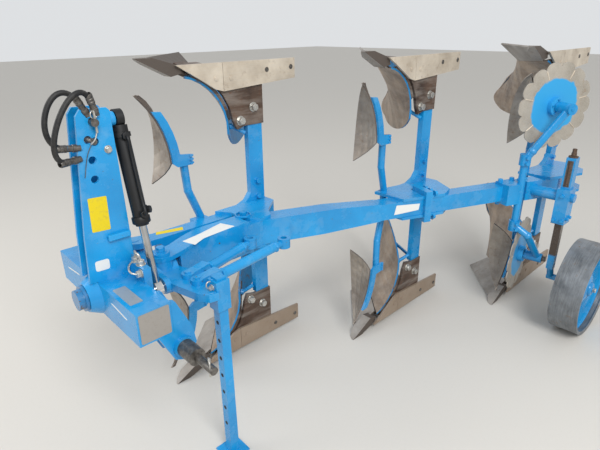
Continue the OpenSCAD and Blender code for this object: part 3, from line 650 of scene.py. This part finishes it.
# A round bar or pipe is bent along a smooth curve through its stops; its width is in millimetres.
def bent_pipe(name, stops, width, material, body):
    deselect()
    line = bpy.data.curves.new(name, "CURVE")
    line.dimensions = "3D"
    line.bevel_depth = width / 2000
    line.bevel_resolution = 4
    line.use_fill_caps = True
    spline = line.splines.new("NURBS")
    spline.points.add(len(stops) - 1)
    for point, stop in zip(spline.points, stops):
        point.co = (*stop, 1)
    spline.use_endpoint_u = True
    spline.order_u = 3
    pipe = bpy.data.objects.new(name, line)
    bpy.context.scene.collection.objects.link(pipe)
    pipe.select_set(True)
    bpy.context.view_layer.objects.active = pipe
    bpy.ops.object.convert(target="MESH")
    piece = bpy.context.object
    bpy.ops.object.shade_smooth_by_angle(angle=math.radians(40))
    piece.data.materials.append(material)
    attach(piece, body)
    deselect()
    return piece


pipe_run = [(0, 38, -330), (0, 46, -326), (-2, 47, -312), (-4, 36, -295), (-4, 34, -200),
            (-4, 34, -110), (-2, 46, -86), (0, 47, -68), (0, 38, -62)]
bent_pipe("ram_pipe", [on_ram(*stop) for stop in pipe_run], 10, black_enamel, "ram_barrel")


# Linch pins: zinc-plated spring steel, a short pin through the cross hole of each hitch pin and a ring
# that snaps round its end.
LINCH_TOP = 36
LINCH_FOOT = -34
LINCH_WIDTH = 8.5
RING_WIRE = 4
LINK_HALF = 412.5
LINCH_OUT = 72


def linch_pin(name, place, along, ring_r):
    along = Vector(along)
    bar_line = [place + Vector((0, 0, height)) / 1000 for height in (LINCH_TOP, 12, -12, LINCH_FOOT)]
    bent_pipe(name + "_pin", bar_line, LINCH_WIDTH, zinc, "headstock")
    ring_line = []
    for a in range(0, 361, 24):
        turn = math.radians(a)
        rise = Vector((2, 0, LINCH_TOP - ring_r * (1 - math.cos(turn))))
        ring_line.append(place + (along * ring_r * math.sin(turn) + rise) / 1000)
    bent_pipe(name + "_ring", ring_line, RING_WIRE, zinc, "headstock")


for side, word in ((1, "left"), (-1, "right")):
    linch_pin("linch_" + word, at(218, side * (LINK_HALF + LINCH_OUT), 640), (0.4, side * 0.9, 0), 20)
linch_pin("linch_top", at(281, 52, 1371), (0.9, 0.4, 0), 13)


# Slot pin: a second turned pin rests in the tower's slot, with a bright spring clip on its end and the
# thin wire that keeps it from being lost.
slot_pin = [(0, -46), (10, -46), (11, -45), (11, 44), (10, 46), (0, 46)]
turned_ring("slot_pin", slot_pin, at(293, 0, 1310), LEFT, oily_steel, "headstock",
            closed=False, steps=32)
clip_run = [(304, 44, 1302), (300, 50, 1308), (290, 52, 1318), (284, 50, 1330), (280, 48, 1342)]
bent_pipe("slot_clip", [at(*stop) for stop in clip_run], 5, zinc, "headstock")
wire_run = [(304, 46, 1300), (312, 46, 1290), (322, 45, 1268), (332, 44, 1234), (340, 43, 1200)]
bent_pipe("pin_chain", [at(*stop) for stop in wire_run], 2.5, oily_steel, "headstock")


# Tower ledge: a short flat bar of steel with its edges ground round, welded across the tower's left
# plate and sprayed with it.
def welded_block(name, low, high, round_mm, material, body):
    deselect()
    middle = (Vector(low) + Vector(high)) / 2
    bpy.ops.mesh.primitive_cube_add(size=1, location=at(*middle))
    piece = bpy.context.object
    piece.name = name
    piece.scale = [(b - a) / 1000 for a, b in zip(low, high)]
    settle(piece)
    edge = piece.modifiers.new("edge", "BEVEL")
    edge.width = round_mm / 1000
    edge.segments = 3
    bpy.ops.object.modifier_apply(modifier="edge")
    piece.data.materials.append(material)
    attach(piece, body)
    deselect()
    return piece


welded_block("tower_ledge", (226, 39.5, 968), (305, 58, 990), 4, blue, "headstock")


# Oil valve on the headstock's block: three zinc-plated hexagon unions, a steel pipe bent from one to the
# next, and the valve's arm.
valve_spots = [(at(236, 84, 882), UP, 0), (at(236, 122, 882), UP, 12), (at(250, 146, 862), AHEAD, 0)]
fit_bolts("valve_unions", mid_bolt, valve_spots, zinc, "headstock")
valve_run = [(236, 84, 897), (236, 84, 916), (240, 92, 926),
             (244, 108, 926), (236, 122, 916), (236, 122, 897)]
bent_pipe("valve_pipe", [at(*stop) for stop in valve_run], 8, zinc, "headstock")
arm_run = [(262, 146, 862), (276, 142, 866), (284, 128, 874), (272, 100, 884), (252, 92, 888)]
bent_pipe("valve_arm", [at(*stop) for stop in arm_run], 7, zinc, "headstock")


# Hose ends: steel ferrules pressed in rings over the rubber, each up against the turned sleeve of its
# coupling. Both are dark with oil.
SLEEVE_BACK = 41
COUPLING = [(9.7, 0), (10.6, 0), (10.6, 12), (12.5, 13), (12.5, 24), (10.6, 25), (10.6, 40), (9.7, 40)]
FERRULE = [(8.8, 0), (11, 0), (12, 2), (12, 9), (11, 10), (12, 12),
           (12, 19), (11, 20), (12, 22), (12, 30), (10, 34), (8.8, 34)]
for node_name, route in HOSES.items():
    points = [at(*p) for p in route]
    for place, towards, word in ((points[0], points[1], "top"), (points[3], points[2], "low")):
        way = (towards - place).normalized()
        turned_ring(node_name + "_coupling_" + word, COUPLING, place - way * (SLEEVE_BACK / 1000), way,
                    oily_steel, "headstock", steps=24)
        turned_ring(node_name + "_ferrule_" + word, FERRULE, place, way, oily_steel,
                    "headstock", steps=24)


# Coulter fittings: painted clamp bolts on the beam block, set bolts in the arms' sleeves, hub bolts and
# end nuts, and the seven flutes of bare steel on each side of each disc.
POST_BACK = 1775
POST_OUT = 31
CLAMP_HALF = 57.5
SLEEVE_FACE = 21
HUB_BOLTS = 5
HUB_BOLT_R = 37
HUB_FACE = 30
DISC_PIN_END = 130
FLUTES = 7
FLUTE_WIDTH = 7
clamp_along = (POST_BACK - LEG_BACK) / math.cos(BEAM_ANGLE)
clamp_spots = []
for along in (clamp_along + 25, clamp_along - 55):
    for height, way in ((CLAMP_HALF, UP), (-CLAMP_HALF, DOWN)):
        clamp_spots.append((on_beam(along, 0, height), way, 12))
fit_bolts("clamp_bolts", mid_bolt, clamp_spots, blue, "turning_frame")
post_y = BEAM_Y + BEAM_SLOPE * (POST_BACK - LEG_BACK) + BEAM_HALF + POST_OUT
sleeve_spots = []
for sense in (1, -1):
    for height in (176, 208):
        place = at(-POST_BACK + SLEEVE_FACE, post_y + SLEEVE_FACE, TURNOVER_AXIS + sense * height)
        sleeve_spots.append((place, (0.7, 0.7, 0), 8))
fit_bolts("sleeve_bolts", small_bolt, sleeve_spots, blue, "turning_frame")
for node_name, (x, y, z, turn) in DISCS.items():
    lean = math.radians(turn)
    outward = Vector((math.sin(lean), math.cos(lean), 0))
    flatways = Vector((math.cos(lean), -math.sin(lean), 0))
    middle = at(x, y, z)
    hub_spots = []
    for i in range(HUB_BOLTS):
        twist = 360 / HUB_BOLTS * i
        angle = math.radians(twist + 10)
        arm = flatways * math.cos(angle) + Vector((0, 0, math.sin(angle)))
        hub_spots.append((middle + (arm * HUB_BOLT_R + outward * HUB_FACE) / 1000, tuple(outward), twist))
    fit_bolts(node_name + "_hub_bolts", tiny_bolt, hub_spots, blue, node_name)
    if node_name == "disc_lower":
        end_nut, finish, slot = big_bolt, oily_steel, "dark_steel"
    else:
        end_nut, finish, slot = flush_bolt, blue, "blue_paint"
    pin_end = middle + outward * (DISC_PIN_END / 1000)
    fit_bolts(node_name + "_end_nut", end_nut, [(pin_end, tuple(outward), 10)], finish, "turning_frame")
    for side, word in ((1, "a"), (-1, "b")):
        for i in range(FLUTES):
            angle = math.radians(360 / FLUTES * (i + 0.25))
            spoke = flatways * math.cos(angle) + Vector((0, 0, math.sin(angle)))
            stops = [middle + spoke * r / 1000 + outward * side * d / 1000
                     for r, d in ((150, 1.5), (160, 3), (185, 3.6), (198, 1.5))]
            bent_pipe("%s_flute_%s%d" % (node_name, word, i), stops, FLUTE_WIDTH, landside_steel,
                      node_name)


# Wheel carrier: a slot that shows the depth spindle's thread, the spindle's rusty head on top, and the
# painted clamp bolts.
SWING_X, SWING_Y = -1890, 785
SLOT_X = SWING_X + 27
CARRIER_FACE = SWING_X + 45
CARRIER_SIDE = SWING_Y + 33
SPINDLE_END = 219
THREAD_TURNS = 34
THREAD_PITCH = 4
rust_steel = turned_steel("rusted_spindle", "3d3028", "6e5746", 0.3, 0.55, 8)
welded_block("spindle_slot", (SLOT_X + 0.5, SWING_Y - 15, 828), (SLOT_X + 1.6, SWING_Y + 15, 972), 0.4,
             oily_steel, "wheel_arm")
thread = [(0, 0)]
for i in range(THREAD_TURNS):
    thread += [(7.4, i * THREAD_PITCH), (9, i * THREAD_PITCH + 2)]
thread.append((0, THREAD_TURNS * THREAD_PITCH))
turned_ring("spindle_thread", thread, at(SLOT_X, SWING_Y, 832), UP, rust_steel, "wheel_arm",
            closed=False, steps=16)
top_outline = [(0, 0), (24, 0), (24, 7), (13, 8), (13, 24), (11, 26), (11, 44), (9, 46), (0, 46)]
turned_ring("spindle_top", top_outline, at(SWING_X, SWING_Y, TURNOVER_AXIS + SPINDLE_END), UP, rust_steel,
            "wheel_arm", closed=False, steps=24)
carrier_spots = [(at(CARRIER_FACE, SWING_Y + y, z), AHEAD, 10) for y, z in ((-20, 640), (20, 640), (0, 780))]
carrier_spots += [(at(SWING_X + x, CARRIER_SIDE, 650), LEFT, twist) for x, twist in ((-20, 5), (20, 15))]
fit_bolts("carrier_bolts", small_bolt, carrier_spots, blue, "wheel_arm")


# Stand: the head and bent loop of the locking pin, both zinc-plated, on the front of its socket, and
# the round holes drilled down the front of the tube, drawn as thin near-black discs of painted shade.
STAND_Y = 292
STAND_FACE = 56
TOP_HOLE = 640
LOW_HOLE = 160
HOLE_STEP = 80


def flat_finish(name, colour, roughness, metallic=0.0, wear="6f6a60"):
    material, tree, place = new_material(name)
    where = place.outputs["Object"]
    shade = blend_colour(tree, share_of(tree, 0.3, mask(tree, where, 14, 0.52, 0.8, 5.0)), colour, wear)
    fine = mask(tree, where, 1.5, 0.3, 0.7)
    shader = add(tree, "ShaderNodeBsdfPrincipled", {"Metallic": metallic, "Roughness": roughness},
                 {"Base Color": shade, "Normal": bump(tree, fine, 0.05, 0.2)})
    finish_material(tree, shader)
    return material


fit_bolts("stand_pin", small_bolt, [(at(65, STAND_Y, 790), AHEAD, 10)], zinc, "turning_frame")
loop_line = [at(x, STAND_Y, z) for x, z in ((70, 790), (84, 792), (90, 806), (84, 820), (72, 818))]
bent_pipe("stand_pin_loop", loop_line, 5, zinc, "turning_frame")
# Painted shade: the holes' dark bores are flat near-black discs on the tube's face.
shadow = flat_finish("painted_bore_shade", "10161c", 0.8)
hole_outline = [(0, 0), (8.5, 0), (8.5, 0.15), (0, 0.2)]
for i, z in enumerate(range(TOP_HOLE, LOW_HOLE - 1, -HOLE_STEP)):
    turned_ring("stand_hole_%d" % i, hole_outline, at(STAND_FACE, STAND_Y, z), AHEAD, shadow, "stand_leg",
                closed=False, steps=24)


# Stickers and plates: plain yellow and white vinyl stuck on after the paint, a plain aluminium plate, and
# raw steel caps over the cross tube's ends. Each is cut to its outline and laid on its surface.
yellow_vinyl = flat_finish("yellow_vinyl", "dcc408", 0.5)
white_vinyl = flat_finish("white_vinyl", "dededa", 0.5, wear="c2ccd2")
plate_metal = flat_finish("brushed_aluminium", "b9b9b6", 0.35, 0.6)
cap_metal = flat_finish("raw_plate_steel", "95908a", 0.6, 0.1)


def lay_sheet(name, corners, way, thick, rounding, material, body):
    deselect()
    mesh = bpy.data.meshes.new(name)
    points = [at(*c) for c in corners]
    turned = (points[1] - points[0]).cross(points[2] - points[1])
    if turned.dot(Vector(way)) < 0:
        points.reverse()
    mesh.from_pydata(points, [], [tuple(range(len(points)))])
    piece = bpy.data.objects.new(name, mesh)
    bpy.context.scene.collection.objects.link(piece)
    bpy.context.view_layer.objects.active = piece
    piece.select_set(True)
    bpy.ops.object.mode_set(mode="EDIT")
    bpy.ops.mesh.select_all(action="SELECT")
    if rounding:
        bpy.ops.mesh.bevel(offset=rounding / 1000, segments=4, affect="VERTICES")
    bpy.ops.mesh.select_all(action="SELECT")
    lift = Vector(way).normalized() * thick / 1000
    bpy.ops.mesh.extrude_region_move(TRANSFORM_OT_translate={"value": tuple(lift)})
    bpy.ops.mesh.select_all(action="SELECT")
    bpy.ops.mesh.normals_make_consistent(inside=False)
    bpy.ops.object.mode_set(mode="OBJECT")
    piece.data.materials.append(material)
    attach(piece, body)
    deselect()
    return piece


VINYL = 0.8
PLATE = 1.5
CAP = 1.2
TOWER_FACE = 40
ARM_TOP = 827
BEAM_TOP = 842
TUBE_FACE = 365
TUBE_HALF = 325
sticker = [(x, TOWER_FACE, z) for x, z in ((345, 1130), (283, 1126), (287, 1007), (349, 1011))]
lay_sheet("tower_sticker", sticker, LEFT, VINYL, 4, yellow_vinyl, "headstock")
label = [(x, TOWER_FACE, z) for x, z in ((360, 906), (311, 904), (312, 866), (361, 868))]
lay_sheet("tower_label", label, LEFT, VINYL, 8, white_vinyl, "headstock")
arm_mark = [(x, y, ARM_TOP) for x, y in ((4, -221), (-109, -193), (-95, -163), (18, -196))]
lay_sheet("arm_sticker", arm_mark, UP, VINYL, 3, yellow_vinyl, "turning_frame")
beam_strip = [(-11, -27), (-110, -45), (-232, -78), (-257, -7), (-182, 0), (-90, 8), (-30, 38)]
beam_mark = [(x, y, BEAM_TOP) for x, y in beam_strip]
lay_sheet("beam_strip", beam_mark, UP, VINYL, 3, white_vinyl, "turning_frame")
plate = [(x, y, ARM_TOP) for x, y in ((350, 128), (306, 128), (306, 262), (350, 262))]
lay_sheet("name_plate", plate, UP, PLATE, 4, plate_metal, "headstock")
for side, word in ((-1, "right"), (1, "left")):
    mark = [(TUBE_FACE, side * y, z) for y, z in ((136, 789), (150, 792), (258, 781), (252, 776))]
    lay_sheet("tube_mark_%s" % word, mark, AHEAD, VINYL, 0, white_vinyl, "headstock")
side_marks = ((555, -22), (700, -14), (706, 20), (566, 28))
side_mark = [tuple(on_beam(along, BEAM_HALF, height) * 1000 - SHIFT) for along, height in side_marks]
side_way = (math.sin(BEAM_ANGLE), math.cos(BEAM_ANGLE), 0)
lay_sheet("beam_side_mark", side_mark, side_way, VINYL, 3, white_vinyl, "turning_frame")
for side, word in ((-1, "right"), (1, "left")):
    cap = [(x, side * TUBE_HALF, z) for x, z in ((252, 714), (358, 714), (358, 820), (252, 820))]
    lay_sheet("tube_cap_%s" % word, cap, (0, side, 0), CAP, 6, cap_metal, "headstock")


# The bolts' models go, now that all their copies are in place.
for model in (big_bolt, mid_bolt, small_bolt, tiny_bolt, flush_bolt, lock_nut):
    bpy.data.objects.remove(model, do_unlink=True)


# The studio: a matt floor of pale concrete grey, two large soft lamps aimed at the plough's middle and
# an even pale sky, so that a colour renders about as it is written.
FLOOR_SIZE = 60
LAMP_SIZE = 3.0
AIM = Vector((0, 0, 0.7))
SKY = (0.86, 0.88, 0.90, 1)
SKY_STRENGTH = 0.85


def pale_floor():
    bpy.ops.mesh.primitive_plane_add(size=FLOOR_SIZE, location=(0, 0, 0))
    floor = bpy.context.object
    floor.name = "floor"
    floor.data.materials.append(flat_finish("pale_floor", "cdc9c2", 0.9, wear="c4c0b8"))


def soft_light(name, place, power):
    lamp = bpy.data.lights.new(name, "AREA")
    lamp.shape = "DISK"
    lamp.size = LAMP_SIZE
    lamp.energy = power
    holder = bpy.data.objects.new(name, lamp)
    holder.location = place
    holder.rotation_euler = (AIM - Vector(place)).to_track_quat("-Z", "Y").to_euler()
    bpy.context.scene.collection.objects.link(holder)


def pale_world():
    world = bpy.data.worlds.new("studio")
    world.use_nodes = True
    background = world.node_tree.nodes["Background"]
    background.inputs["Color"].default_value = SKY
    background.inputs["Strength"].default_value = SKY_STRENGTH
    bpy.context.scene.world = world


pale_floor()
soft_light("key", (2.5, 4.5, 5.0), 300)
soft_light("fill", (4.5, -3.0, 3.5), 90)
pale_world()
bpy.context.scene.view_settings.view_transform = "Standard"
